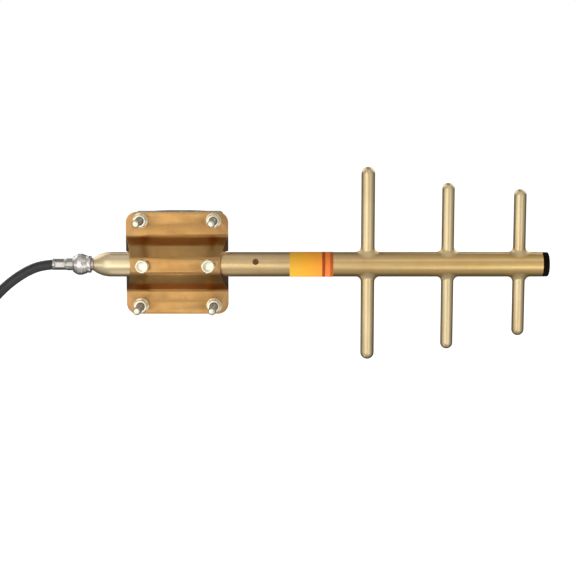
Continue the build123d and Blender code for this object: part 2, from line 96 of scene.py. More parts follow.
class Finish:
    """One material, with short names for adding and joining its shader nodes."""

    # The sockets of a colour Mix node: its factor, its two colours and its result.
    MIX_INPUTS = (0, 6, 7)
    MIX_RESULT = 2

    def __init__(self, name, color, metallic, roughness, **sockets):
        self.material = bpy.data.materials.new(name)
        self.material.use_nodes = True
        self.tree = self.material.node_tree
        self.shader = self.tree.nodes["Principled BSDF"]
        self.shader.inputs["Base Color"].default_value = (*color, 1.0)
        self.shader.inputs["Metallic"].default_value = metallic
        self.shader.inputs["Roughness"].default_value = roughness
        for socket, value in sockets.items():
            self.shader.inputs[socket.replace("_", " ")].default_value = value
        self.place = self.add("ShaderNodeTexCoord").outputs["Object"]
        self.height = None

    def add(self, kind, **settings):
        node = self.tree.nodes.new(kind)
        for name, value in settings.items():
            setattr(node, name, value)
        return node

    def link(self, output, target):
        self.tree.links.new(output, target)

    def math(self, operation, *values):
        """The result of a Math node on one or two sockets."""
        node = self.add("ShaderNodeMath", operation=operation)
        for value, socket in zip(values, node.inputs):
            self.link(value, socket)
        return node.outputs["Value"]

    def axis(self, name):
        """The X, Y or Z of the place that is shaded."""
        split = self.add("ShaderNodeSeparateXYZ")
        self.link(self.place, split.inputs["Vector"])
        return split.outputs[name]

    def noise(self, scale, stretch=(1.0, 1.0, 1.0), detail=3.0, roughness=0.5):
        """Noise of so many waves a metre, stretched along an axis by a small factor there."""
        mapping = self.add("ShaderNodeMapping")
        mapping.inputs["Scale"].default_value = stretch
        self.link(self.place, mapping.inputs["Vector"])
        texture = self.add("ShaderNodeTexNoise")
        texture.inputs["Scale"].default_value = scale
        texture.inputs["Detail"].default_value = detail
        texture.inputs["Roughness"].default_value = roughness
        self.link(mapping.outputs["Vector"], texture.inputs["Vector"])
        return texture.outputs["Fac"]

    def scaled(self, value, low, high, start=0.3, end=0.7):
        """A value from start to end, as one from low to high."""
        node = self.add("ShaderNodeMapRange")
        node.inputs["From Min"].default_value = start
        node.inputs["From Max"].default_value = end
        node.inputs["To Min"].default_value = low
        node.inputs["To Max"].default_value = high
        self.link(value, node.inputs["Value"])
        return node.outputs["Result"]

    def colors(self, value, *stops):
        """A colour along a ramp of (place, colour) stops."""
        ramp = self.add("ShaderNodeValToRGB")
        elements = ramp.color_ramp.elements
        while len(elements) < len(stops):
            elements.new(0.5)
        for element, (place, color) in zip(elements, stops):
            element.position = place
            element.color = (*color, 1.0)
        self.link(value, ramp.inputs["Fac"])
        return ramp.outputs["Color"]

    def mixed(self, share, first, second, blend="MIX"):
        """Two colours, each a socket or a plain colour, mixed by a socket's share."""
        node = self.add("ShaderNodeMix", data_type="RGBA", blend_type=blend)
        for index, value in zip(self.MIX_INPUTS, (share, first, second)):
            if isinstance(value, tuple):
                node.inputs[index].default_value = (*value, 1.0)
            else:
                self.link(value, node.inputs[index])
        return node.outputs[self.MIX_RESULT]

    def near(self, points, reach):
        """1 close to any of some points, and 0 at a distance of reach from them all."""
        nearest = None
        for point in points:
            gap = self.add("ShaderNodeVectorMath", operation="DISTANCE")
            self.link(self.place, gap.inputs[0])
            gap.inputs[1].default_value = point
            here = self.scaled(gap.outputs["Value"], 1.0, 0.0, start=0.35 * reach, end=reach)
            nearest = self.math("MAXIMUM", nearest, here) if nearest else here
        return nearest

    def worn(self, radius):
        """1 along outer edges and 0 elsewhere, by comparing the normal with a rounded one."""
        bevel = self.add("ShaderNodeBevel", samples=4)
        bevel.inputs["Radius"].default_value = radius
        geometry = self.add("ShaderNodeNewGeometry")
        dot = self.add("ShaderNodeVectorMath", operation="DOT_PRODUCT")
        self.link(bevel.outputs["Normal"], dot.inputs[0])
        self.link(geometry.outputs["Normal"], dot.inputs[1])
        return self.scaled(dot.outputs["Value"], 1.0, 0.0, start=0.90, end=0.995)

    def color(self, value):
        self.link(value, self.shader.inputs["Base Color"])

    def roughness(self, value):
        self.link(value, self.shader.inputs["Roughness"])

    def bump(self, value, distance, strength=1.0):
        """Relief of a height in metres, on top of the relief already there."""
        node = self.add("ShaderNodeBump")
        node.inputs["Distance"].default_value = distance
        node.inputs["Strength"].default_value = strength
        self.link(value, node.inputs["Height"])
        if self.height:
            self.link(self.height, node.inputs["Normal"])
        self.height = node.outputs["Normal"]
        self.link(self.height, self.shader.inputs["Normal"])


# How noise is stretched into lines along an axis.
LONG = {"x": (0.012, 1.0, 1.0), "z": (1.0, 1.0, 0.012)}


def anodised_gold(name, along, light, deep, joints=(), painted_falloff=False):
    """Satin gold anodise on drawn aluminium: fine die lines along it, slow shifts of tint, and a
    browner patch round each weld. Where asked, a painted highlight makes it paler behind and
    painted shade makes it richer and darker to the front."""
    finish = Finish(name, light, 1.0, 0.33)
    lines = finish.noise(2600.0, LONG[along], detail=4.0, roughness=0.7)
    broad = finish.noise(34.0, (0.5, 1.0, 0.5), detail=3.0)
    patches = finish.noise(240.0, detail=5.0, roughness=0.65)
    greenish = tuple((a + b) / 2 for a, b in zip(light, (0.80, 0.72, 0.40)))
    tint = finish.colors(broad, (0.30, deep), (0.52, light), (0.75, greenish))
    streaked = finish.mixed(finish.scaled(lines, 0.0, 0.30), tint, deep)
    color = finish.mixed(finish.scaled(patches, 0.0, 0.22), streaked, (0.98, 0.84, 0.56))
    if painted_falloff:
        # Painted shade, richer and darker towards the front, and a painted highlight, paler behind.
        # Start and end are places along the boom.
        front = finish.scaled(finish.axis("X"), 0.0, 0.75, start=0.10, end=0.24)
        color = finish.mixed(front, color, (1.0, 0.94, 0.70), "MULTIPLY")
        rear = finish.scaled(finish.axis("X"), 0.75, 0.0, start=-0.07, end=0.08)
        color = finish.mixed(rear, color, (1.0, 0.84, 0.56))
    if joints:
        # A browner patch round each place where a rod meets the boom.
        weld_patch_reach = 15 * MM
        color = finish.mixed(finish.near(joints, weld_patch_reach), color, (0.82, 0.56, 0.24))
    finish.color(color)
    finish.roughness(finish.scaled(finish.noise(900.0, LONG[along], detail=3.0), 0.27, 0.42))
    finish.bump(lines, 0.06 * MM, 0.35)
    finish.bump(patches, 0.08 * MM, 0.15)
    return finish.material


def weld_gold():
    """The same anodise over welded metal: a little paler and rougher, with fine pits."""
    finish = Finish("weld_gold", (0.86, 0.66, 0.36), 1.0, 0.40)
    grain = finish.noise(700.0, detail=5.0, roughness=0.7)
    finish.color(finish.colors(
        grain, (0.25, (0.76, 0.55, 0.27)), (0.55, (0.87, 0.66, 0.35)), (0.8, (0.92, 0.74, 0.43))
    ))
    finish.roughness(finish.scaled(grain, 0.32, 0.52))
    finish.bump(grain, 0.08 * MM, 0.4)
    return finish.material


def bracket_bronze():
    """Pressed aluminium with a deep gold-bronze finish, rubbed bright along its edges. Painted
    shade darkens the arch's steep walls and the plate's ends."""
    finish = Finish("bracket_bronze", (0.68, 0.40, 0.16), 1.0, 0.36)
    broad = finish.noise(26.0, (1.0, 1.0, 1.6), detail=4.0, roughness=0.6)
    grain = finish.noise(1900.0, (0.02, 1.0, 1.0), detail=4.0, roughness=0.7)
    speckle = finish.noise(1300.0, detail=6.0, roughness=0.75)
    base = finish.colors(
        broad, (0.28, (0.52, 0.265, 0.080)), (0.5, (0.59, 0.325, 0.110)), (0.72, (0.65, 0.40, 0.155))
    )
    base = finish.mixed(finish.scaled(grain, 0.0, 0.30), base, (0.56, 0.285, 0.08))
    base = finish.mixed(finish.scaled(speckle, 0.0, 0.25, start=0.5, end=0.75), base, (0.84, 0.60, 0.32))
    # Painted shade, deepening towards the plate's ends.
    across = finish.math("ABSOLUTE", finish.axis("X"))
    ends = finish.scaled(across, 0.0, 0.45, start=34 * MM, end=53 * MM)
    base = finish.mixed(ends, base, (0.40, 0.24, 0.12))
    # Painted shade on the steep walls, which lie between the arch's shoulders and the flanges.
    height = finish.math("ABSOLUTE", finish.axis("Z"))
    past_shoulder = finish.scaled(height, 0.0, 1.0, start=18.5 * MM, end=21.5 * MM)
    before_flange = finish.scaled(height, 1.0, 0.0, start=26.8 * MM, end=28.4 * MM)
    steep = finish.math("MULTIPLY", past_shoulder, before_flange)
    base = finish.mixed(steep, base, (0.40, 0.17, 0.04))
    finish.color(finish.mixed(finish.worn(0.6 * MM), base, (0.92, 0.74, 0.46)))
    finish.roughness(finish.scaled(finish.noise(60.0, detail=4.0), 0.25, 0.40))
    finish.bump(grain, 0.06 * MM, 0.3)
    finish.bump(speckle, 0.06 * MM, 0.3)
    return finish.material


def cast_metal():
    """Sand-cast aluminium: a coarse skin with small pits, worn smoother at the edges."""
    finish = Finish("cast_metal", (0.55, 0.54, 0.52), 1.0, 0.5)
    skin = finish.noise(620.0, detail=6.0, roughness=0.7)
    broad = finish.noise(45.0, detail=3.0)
    base = finish.colors(
        skin, (0.3, (0.34, 0.33, 0.32)), (0.55, (0.52, 0.51, 0.49)), (0.75, (0.62, 0.61, 0.59))
    )
    base = finish.mixed(finish.scaled(broad, 0.0, 0.4), base, (0.40, 0.385, 0.36))
    finish.color(finish.mixed(finish.worn(0.7 * MM), base, (0.78, 0.77, 0.74)))
    finish.roughness(finish.scaled(skin, 0.40, 0.62))
    finish.bump(skin, 0.35 * MM, 0.7)
    return finish.material


def zinc_thread():
    """Zinc plate on a cut thread: dull and darker than on the heads and nuts."""
    finish = Finish("zinc_thread", (0.40, 0.36, 0.30), 1.0, 0.36)
    # Noise that mottles the thread's darker colour and its roughness.
    thread_mottle = finish.noise(320.0, detail=4.0, roughness=0.6)
    finish.color(finish.colors(thread_mottle, (0.35, (0.42, 0.38, 0.30)), (0.65, (0.70, 0.65, 0.55))))
    finish.roughness(finish.scaled(thread_mottle, 0.26, 0.46))
    finish.bump(finish.noise(2400.0, detail=3.0), 0.03 * MM, 0.4)
    return finish.material


def zinc_plate():
    """Bright zinc on steel: a warm cast, a fine spangle and rubbed corners."""
    finish = Finish("zinc_plate", (0.86, 0.84, 0.80), 1.0, 0.24)
    broad = finish.noise(130.0, detail=3.0)
    spangle = finish.noise(2200.0, detail=4.0, roughness=0.7)
    base = finish.colors(
        broad, (0.3, (0.89, 0.84, 0.70)), (0.5, (0.92, 0.84, 0.62)), (0.72, (0.94, 0.83, 0.56))
    )
    base = finish.mixed(finish.scaled(spangle, 0.0, 0.22), base, (0.70, 0.65, 0.55))
    finish.color(finish.mixed(finish.worn(0.3 * MM), base, (0.97, 0.96, 0.93)))
    finish.roughness(finish.scaled(spangle, 0.18, 0.34))
    finish.bump(spangle, 0.04 * MM, 0.4)
    return finish.material


def nickel_plate(name, light, dark):
    """Satin nickel: a warm grey that shifts slowly, with light scuffs."""
    finish = Finish(name, light, 1.0, 0.26)
    broad = finish.noise(160.0, detail=3.0)
    scuffs = finish.noise(1500.0, (1.0, 0.25, 0.25), detail=5.0, roughness=0.75)
    base = finish.colors(broad, (0.3, dark), (0.6, light))
    finish.color(finish.mixed(finish.scaled(scuffs, 0.0, 0.35), base, (0.55, 0.52, 0.48)))
    finish.roughness(finish.scaled(scuffs, 0.15, 0.30))
    finish.bump(scuffs, 0.04 * MM, 0.4)
    return finish.material


def contact_gold():
    """Thin gold plate on turned brass."""
    finish = Finish("contact_gold", (0.90, 0.66, 0.28), 1.0, 0.22)
    grain = finish.noise(1800.0, detail=3.0)
    finish.color(finish.colors(grain, (0.35, (0.80, 0.54, 0.20)), (0.65, (0.94, 0.72, 0.34))))
    finish.roughness(finish.scaled(grain, 0.16, 0.30))
    finish.bump(grain, 0.03 * MM, 0.3)
    return finish.material


def moulded(name, light, dark, roughness, relief, waves=900.0, **sockets):
    """A moulded or extruded plastic or rubber, faintly mottled, with a fine skin texture."""
    finish = Finish(name, light, 0.0, roughness, **sockets)
    skin = finish.noise(waves, detail=5.0, roughness=0.65)
    broad = finish.noise(55.0, detail=3.0)
    mottled = finish.colors(broad, (0.3, dark), (0.7, light))
    finish.color(finish.mixed(finish.scaled(skin, 0.0, 0.3), mottled, dark))
    finish.roughness(finish.scaled(skin, roughness - 0.07, roughness + 0.10))
    finish.bump(skin, relief, 0.6)
    return finish.material


def drawn_metal(name, light, dark):
    """Bare drawn copper or brass, with die lines and patches of tarnish."""
    finish = Finish(name, light, 1.0, 0.32)
    lines = finish.noise(1700.0, LONG["x"], detail=4.0)
    tarnish = finish.noise(120.0, detail=5.0, roughness=0.7)
    base = finish.colors(tarnish, (0.35, dark), (0.65, light))
    finish.color(finish.mixed(finish.scaled(lines, 0.0, 0.3), base, dark))
    finish.roughness(finish.scaled(tarnish, 0.40, 0.24))
    finish.bump(lines, 0.04 * MM, 0.4)
    return finish.material


def printed_film(name, stops, start, end):
    """A printed vinyl band whose tint shifts along the boom, slightly uneven and scuffed."""
    finish = Finish(name, stops[0], 0.0, 0.40, Specular_IOR_Level=0.12)
    along = finish.scaled(finish.axis("X"), 0.0, 1.0, start=start, end=end)
    tint = finish.colors(along, *zip((0.0, 0.5, 1.0), stops))
    ink = finish.noise(420.0, detail=5.0, roughness=0.7)
    scuffs = finish.noise(900.0, (0.15, 1.0, 1.0), detail=4.0, roughness=0.8)
    faded = finish.mixed(finish.scaled(ink, 0.0, 0.10), tint, (0.92, 0.70, 0.35))
    darker = tuple(0.55 * c for c in stops[2])
    finish.color(finish.mixed(finish.scaled(scuffs, 0.0, 0.18, start=0.5, end=0.8), faded, darker))
    finish.roughness(finish.scaled(scuffs, 0.28, 0.46))
    finish.bump(ink, 0.05 * MM, 0.4)
    return finish.material


def coat(node, material):
    """Gives a CAD node its finish."""
    slots = nodes[node].data.materials
    slots.clear()
    slots.append(material)


# ------------------------------------------------------------------------ mesh helpers

def joint_place(name):
    """Where the record puts a joint."""
    joint = next(j for j in frame["joints"] if j["name"] == name)
    return Vector(joint["pos_m"])


def pointing(origin, along, turn=0.0):
    """A matrix that takes local Z to a direction from an origin, turned about it first."""
    aim = Vector(along).to_track_quat("Z", "Y").to_matrix().to_4x4()
    return Matrix.Translation(origin) @ aim @ Matrix.Rotation(turn, 4, "Z")


def between(first, last, count):
    """Evenly spaced (height, radius) points from one to another, both included."""
    return [
        tuple(a + (b - a) * i / count for a, b in zip(first, last)) for i in range(count + 1)
    ]


def turned(grid, outline, sides, shape=None, closed=False, matrix=Matrix.Identity(4), second=None):
    """Adds a surface of revolution about Z to a bmesh, from (height, radius) points.

    A closed outline makes a ring with a bore. An open one runs from axis to axis, and its
    ends are capped. shape(angle, height, radius) may change a point's radius. second is a
    span of heights whose faces take the piece's second finish."""
    rows = []
    for height, radius in outline:
        row = []
        for step in range(sides):
            angle = tau * step / sides
            out = shape(angle, height, radius) if shape else radius
            row.append(grid.verts.new(matrix @ Vector((out * cos(angle), out * sin(angle), height))))
        rows.append(row)
    heights = [height for height, radius in outline]
    pairs = list(zip(rows, rows[1:], heights)) + ([(rows[-1], rows[0], heights[-1])] if closed else [])
    for lower, upper, height in pairs:
        in_second = second is not None and second[0] <= height <= second[1]
        for step in range(sides):
            after = (step + 1) % sides
            face = grid.faces.new((lower[step], lower[after], upper[after], upper[step]))
            face.material_index = int(in_second)
    if not closed:
        for row in (rows[0], rows[-1]):
            middle = grid.verts.new(sum((v.co for v in row), Vector()) / sides)
            for step in range(sides):
                grid.faces.new((row[step], row[(step + 1) % sides], middle))


def mesh_of(grid, name, sharp=34):
    """The smooth-shaded mesh of a bmesh, with hard edges where its faces turn sharply."""
    bmesh.ops.recalc_face_normals(grid, faces=grid.faces)
    for edge in grid.edges:
        edge.smooth = not edge.is_manifold or edge.calc_face_angle() < radians(sharp)
    for face in grid.faces:
        face.smooth = True
    mesh = bpy.data.meshes.new(name)
    grid.to_mesh(mesh)
    grid.free()
    return mesh


def stand_in(node, grid, finish, body, kind="detail", sharp=34):
    """The piece of a bmesh that stands for a CAD node, riding on a body. A tuple of finishes
    gives its first and its second finish."""
    name = f"{node}_{kind}"
    mesh = mesh_of(grid, name, sharp)
    for material in finish if isinstance(finish, tuple) else (finish,):
        mesh.materials.append(material)
    piece = bpy.data.objects.new(name, mesh)
    bpy.context.scene.collection.objects.link(piece)
    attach(piece, body)
    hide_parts(node)
    return piece


def eased(node, material, body, width, segments=2):
    """A CAD node's shape again, with its hard edges rounded over by a width."""
    grid = bmesh.new()
    grid.from_mesh(nodes[node].data)
    bmesh.ops.remove_doubles(grid, verts=grid.verts, dist=0.002 * MM)
    bmesh.ops.dissolve_limit(grid, angle_limit=radians(0.6), verts=grid.verts, edges=grid.edges)
    edges = [e for e in grid.edges if e.is_manifold and e.calc_face_angle() > radians(40)]
    bmesh.ops.bevel(
        grid, geom=edges, offset=width, segments=segments, profile=0.5, affect="EDGES",
        clamp_overlap=True,
    )
    return stand_in(node, grid, material, body, kind="eased", sharp=50)


# -------------------------------------------------------------------------- fasteners

M8_RADIUS = 3.97 * MM
M8_PITCH = 1.25 * MM
M8_DEPTH = 0.62 * MM
HEX_HALF_FLATS = 6.5 * MM
HEX_CORNER = 7.4 * MM
HEAD_HEIGHT = 5.3 * MM
CLAMP_THREAD = 50 * MM
CROWN_THREAD = 22 * MM
THREAD_STEPS = 8


def hexagonal(half_flats):
    """A shape for turned(): nothing stands outside a hexagon."""

    def shape(angle, height, radius):
        turn = (angle + tau / 12) % (tau / 6) - tau / 12
        return min(radius, half_flats / cos(turn))

    return shape


def thread_groove(angle, height, pitch, depth):
    """How deep a right-hand 60 degree thread's groove is at a place on a rod."""
    crest, flank = 0.12, 0.68
    phase = (height / pitch - angle / tau) % 1.0
    return depth * min(1.0, max(0.0, abs(2 * phase - 1) - crest) / flank)


def hex_bolt(grid, matrix, head_top, seat, tip, thread_length):
    """A hex bolt along local Z, from the top of its head down to its tip.

    The head's top is dished and chamfered, and it has a washer face under it."""
    thread_end = tip + thread_length
    face = seat + 0.35 * MM
    tip_chamfer = 1.0 * MM
    turns = round(thread_length / M8_PITCH * THREAD_STEPS)
    outline = [
        (head_top - 0.30 * MM, 0.4 * MM),
        (head_top - 0.25 * MM, 4.4 * MM),
        (head_top - 0.04 * MM, 5.0 * MM),
        (head_top, 5.4 * MM),
        (head_top, 6.2 * MM),
        *between((head_top - 0.08 * MM, 6.4 * MM), (head_top - 0.75 * MM, HEX_CORNER), 5),
        (face + 0.1 * MM, HEX_CORNER),
        (face, HEX_CORNER - 0.12 * MM),
        (face, 6.0 * MM),
        (seat, 5.85 * MM),
        (seat, 4.4 * MM),
        (seat - 0.4 * MM, M8_RADIUS),
        (thread_end + 0.3 * MM, M8_RADIUS),
        *between((thread_end, M8_RADIUS), (tip + 0.05 * MM, M8_RADIUS), turns),
        (tip, 2.9 * MM),
    ]
    hexagon = hexagonal(HEX_HALF_FLATS)

    def shape(angle, height, radius):
        if height > seat:
            return hexagon(angle, height, radius)
        if not tip < height <= thread_end:
            return radius
        runout = min(1.0, (thread_end - height) / (1.5 * M8_PITCH))
        chamfer = max(0.0, tip_chamfer - (height - tip))
        groove = thread_groove(angle, height, M8_PITCH, M8_DEPTH)
        return min(radius - groove * runout, radius - chamfer)

    turned(grid, outline, 48, shape, matrix=matrix, second=(tip + 0.02 * MM, thread_end))


def hex_nut(grid, matrix, height):
    """A hex nut on local Z 0, chamfered on both faces, with a countersunk thread."""
    bore, sink = 4.05 * MM, 0.55 * MM
    face, chamfer = 6.15 * MM, 0.75 * MM
    outline = [
        (0.0, bore + sink),
        (0.0, face),
        *between((0.07 * MM, face + 0.2 * MM), (chamfer, HEX_CORNER), 4),
        *between((height - chamfer, HEX_CORNER), (height - 0.07 * MM, face + 0.2 * MM), 4),
        (height, face),
        (height, bore + sink),
        (height - sink, bore),
        (sink, bore),
    ]
    turned(grid, outline, 72, hexagonal(HEX_HALF_FLATS), closed=True, matrix=matrix)


def flat_washer(grid, matrix, thickness):
    """A stamped washer on local Z 0: one rolled edge and one sharper edge."""
    bore, rim = 4.3 * MM, 8.0 * MM
    outline = [
        (0.0, bore + 0.05 * MM),
        (0.0, rim - 0.15 * MM),
        (0.12 * MM, rim - 0.02 * MM),
        (thickness - 0.4 * MM, rim),
        (thickness - 0.12 * MM, rim - 0.15 * MM),
        (thickness, rim - 0.45 * MM),
        (thickness, bore + 0.3 * MM),
        (thickness - 0.25 * MM, bore),
        (0.1 * MM, bore),
    ]
    turned(grid, outline, 64, closed=True, matrix=matrix)


def split_washer(grid, matrix, thickness):
    """A spring lock washer on local Z 0, its two cut ends slightly out of line."""
    steps = 60
    gap = radians(9)
    # How far one cut end stands above the other, and the stretch near them that leans.
    offset = 0.16 * MM
    lean_most, lean_from = 0.12, 0.9
    top = thickness - offset
    bore, rim = 4.25 * MM, 7.05 * MM
    ease_out, ease_up = 0.20 * MM, 0.15 * MM
    section = [
        (bore, ease_up),
        (bore + ease_out, 0.0),
        (rim - ease_out, 0.0),
        (rim, ease_up),
        (rim, top - ease_up),
        (rim - ease_out, top),
        (bore + ease_out, top),
        (bore, top - ease_up),
    ]
    rows = []
    for step in range(steps + 1):
        share = step / steps
        angle = gap + (tau - 2 * gap) * share
        lean = lean_most * (share - 0.5) * max(0.0, abs(2 * share - 1) - lean_from)
        rows.append([
            grid.verts.new(matrix @ Vector((
                out * cos(angle + lean * up), out * sin(angle + lean * up), up + offset * share,
            )))
            for out, up in section
        ])
    for row, after in zip(rows, rows[1:]):
        for index in range(len(section)):
            following = (index + 1) % len(section)
            grid.faces.new((row[index], row[following], after[following], after[index]))
    grid.faces.new(rows[0])
    grid.faces.new(reversed(rows[-1]))


def clamp_fasteners(zinc, thread):
    """The four long bolts with their washers, and the four nuts, each on its own body."""
    flat_low, flat_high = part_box("clamp_flat_washers")
    plate_y, flat_top = flat_high.y, flat_low.y
    lock_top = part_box("clamp_lock_washers")[0].y
    flats, locks = bmesh.new(), bmesh.new()
    for row in ("upper", "lower"):
        low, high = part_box(f"clamp_bolts_{row}")
        bolts = bmesh.new()
        for side, turn in (("left", 0.25), ("right", -0.14)):
            axis = joint_place(f"{row}_{side}_nut_turn")
            at_bolt = pointing((axis.x, 0.0, axis.z), (0, 1, 0), turn)
            hex_bolt(bolts, at_bolt, high.y, high.y - HEAD_HEIGHT, low.y, CLAMP_THREAD)
            on_plate = pointing((axis.x, plate_y, axis.z), (0, -1, 0))
            flat_washer(flats, on_plate, plate_y - flat_top)
            on_flat = pointing((axis.x, flat_top, axis.z), (0, -1, 0), 7 * turn)
            split_washer(locks, on_flat, flat_top - lock_top)
            node = f"clamp_nut_{row}_{side}"
            nut_low, nut_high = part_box(node)
            nut = bmesh.new()
            on_lock = pointing((axis.x, nut_high.y, axis.z), (0, -1, 0), 3 * turn)
            hex_nut(nut, on_lock, nut_high.y - nut_low.y)
            stand_in(node, nut, zinc, f"{row}_{side}_nut")
        node = f"clamp_bolts_{row}"
        stand_in(node, bolts, (zinc, thread), f"{row}_jaw")
    stand_in("clamp_flat_washers", flats, zinc, "antenna")
    stand_in("clamp_lock_washers", locks, zinc, "antenna")


def crown_fasteners(zinc, thread):
    """The two bolts through the arch and the boom, with their lock washers and nuts."""
    low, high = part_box("crown_bolts")
    washer_low, washer_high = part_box("crown_lock_washers")
    nut_low, nut_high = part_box("crown_nuts")
    across = washer_high.x - (washer_high.z - washer_low.z) / 2
    bolts, washers, nuts = bmesh.new(), bmesh.new(), bmesh.new()
    for side, turn in ((-1, 0.14), (1, -0.21)):
        x = side * across
        # Local Z runs to the front: the head is at the front and the tip behind.
        at_bolt = pointing((x, 0.0, 0.0), (0, -1, 0), turn)
        hex_bolt(bolts, at_bolt, -low.y, -washer_low.y, -high.y, CROWN_THREAD)
        under_head = pointing((x, washer_high.y, 0.0), (0, -1, 0), 5 * turn)
        split_washer(washers, under_head, washer_high.y - washer_low.y)
        behind = pointing((x, nut_low.y, 0.0), (0, 1, 0), 2 * turn)
        hex_nut(nuts, behind, nut_high.y - nut_low.y)
    stand_in("crown_bolts", bolts, (zinc, thread), "antenna")
    stand_in("crown_lock_washers", washers, zinc, "antenna")
    stand_in("crown_nuts", nuts, zinc, "antenna")


# -------------------------------------------------------------------- rods and welds

WELDS_OF = {
    "reflector_element": "reflector_welds",
    "driven_element": "driven_element_welds",
    "director_element": "director_welds",
}


def element_rod(node, gold):
    """A drawn rod with full round ends, as the CAD element is from outside."""
    low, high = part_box(node)
    middle = (low + high) / 2
    radius = (high.x - low.x) / 2
    half = (high.z - low.z) / 2
    steps = 14
    # The first ring stands a little off the pole, where the end's cap closes it.
    pole = 0.15
    dome = []
    for step in range(steps + 1):
        angle = tau / 4 * (step + pole) / (steps + pole)
        dome.append((half - radius + radius * cos(angle), radius * sin(angle)))
    outline = dome + [(-height, out) for height, out in reversed(dome)]
    grid = bmesh.new()
    turned(grid, outline, 96, matrix=Matrix.Translation(middle))
    stand_in(node, grid, gold, "antenna", kind="rod", sharp=60)


def on_boom(across):
    """Where a reach sideways lands when it wraps round the boom: its Y offset and height."""
    steepest = 1.25
    wrap = min(abs(across) / boom_radius, steepest)
    return copysign(boom_radius * sin(wrap), across), boom_radius * cos(wrap)


def weld_collar(grid, x, rod, side, seed):
    """A concave fillet weld between a rod and the boom, with the ripples of its passes."""
    around, steps, ripples = 180, 10, 30
    reach = 5.0 * MM
    lift = 0.02 * MM
    rows = []
    for turn in range(around):
        angle = tau * turn / around
        wobble = noise.noise(Vector((3 * cos(angle) + seed, 3 * sin(angle), seed)))
        ripple = abs(sin(ripples * angle / 2 + 0.5 * wobble))
        size = reach * (1.0 + 0.10 * wobble)
        section = []
        for step in range(steps + 1):
            share = step / steps
            # A quarter arc: share 0 is up on the rod and share 1 out on the boom.
            out = size * (1 - cos(share * tau / 4))
            up = size * (1 - sin(share * tau / 4))
            swell = 0.7 * 0.16 * MM * ripple * sin(share * tau / 2)
            toe = rod + out + lift + swell
            sideways, shelf = on_boom(toe * sin(angle))
            section.append((toe, sideways, shelf + up + swell))
        # Two points inside the boom and the rod close the section out of sight.
        bed = rod + 0.55 * size
        bed_height = on_boom(bed * sin(angle))[1] - 1.4 * MM
        section.append((bed, 0.9 * bed * sin(angle), bed_height))
        core = rod - 0.25 * MM
        core_side = core * sin(angle)
        core_height = sqrt(boom_radius ** 2 - core_side ** 2) - 1.2 * MM
        section.append((core, core_side, core_height))
        rows.append([
            grid.verts.new((x + out * cos(angle), boom_y + sideways, side * height))
            for out, sideways, height in section
        ])
    for row, after in zip(rows, rows[1:] + rows[:1]):
        for index in range(len(row)):
            following = (index + 1) % len(row)
            grid.faces.new((row[index], row[following], after[following], after[index]))


def rod_welds(rod, seed, finish):
    """A rod's weld collars, above and below the boom."""
    low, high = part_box(rod)
    grid = bmesh.new()
    for side in (1, -1):
        weld_collar(grid, (low.x + high.x) / 2, (high.x - low.x) / 2, side, 2.7 * seed + side)
    stand_in(WELDS_OF[rod], grid, finish, "antenna", sharp=60)


# ------------------------------------------------------------------------- connectors

N_PITCH = 1.058 * MM
N_DEPTH = 0.5 * MM


def knurled(start, end, teeth, depth):
    """A shape for turned(): diamond knurling between two heights, on the outside alone."""
    outside = 9.3 * MM
    crossings = 2.5
    run_in = 0.5 * MM

    def shape(angle, height, radius):
        if not start < height < end or radius < outside:
            return radius
        along = (height - start) / (end - start) * crossings
        first = abs(2 * ((teeth * angle / tau + along) % 1.0) - 1)
        second = abs(2 * ((teeth * angle / tau - along) % 1.0) - 1)
        fade = min(1.0, (height - start) / run_in, (end - height) / run_in)
        return radius - depth * fade * (1 - min(first, second) ** 0.8)

    return shape


def coupling_nut(node, origin, cableward, body, nickel):
    """The plug's coupling nut: a grooved collar at its mouth, a knurled swell for the fingers,
    and a taper to the cable. Its heights run from the mating plane to the cable."""
    front, rear = -11.6 * MM, 6.9 * MM
    grip_start, grip_end = -6.4 * MM, 3.6 * MM
    swell = 10.95 * MM
    thread_bore, body_bore = 7.98 * MM, 8.6 * MM
    shoulder, taper = 1.1 * MM, 4.9 * MM
    outline = [
        (front, 8.05 * MM),
        (front, 8.4 * MM),
        (front + 0.25 * MM, 8.65 * MM),
        # A shallow groove behind the collar.
        (-8.6 * MM, 8.75 * MM),
        (-8.3 * MM, 8.6 * MM),
        (-7.9 * MM, 8.55 * MM),
        (-7.6 * MM, 8.8 * MM),
        # The swell, in steps that are fine enough for its knurl.
        *between((grip_start, 9.45 * MM), (-2.9 * MM, 10.75 * MM), 12),
        *between((-2.3 * MM, swell), (1.6 * MM, swell), 14),
        *between((2.0 * MM, 10.8 * MM), (grip_end, 10.0 * MM), 6),
        (taper, 9.35 * MM),
        (taper + 0.2 * MM, 9.05 * MM),
        (rear - 0.25 * MM, 8.0 * MM),
        (rear, 7.75 * MM),
        # Inside, from the cable's hole back to the mouth.
        (rear, 6.65 * MM),
        (taper, 6.6 * MM),
        (taper, body_bore),
        (shoulder, body_bore),
        (shoulder, thread_bore),
        (front + 0.3 * MM, thread_bore),
    ]
    grid = bmesh.new()
    shape = knurled(grip_start, grip_end, 40, 0.13 * MM)
    turned(grid, outline, 240, shape, closed=True, matrix=pointing(origin, cableward))
    return stand_in(node, grid, nickel, body, sharp=50)


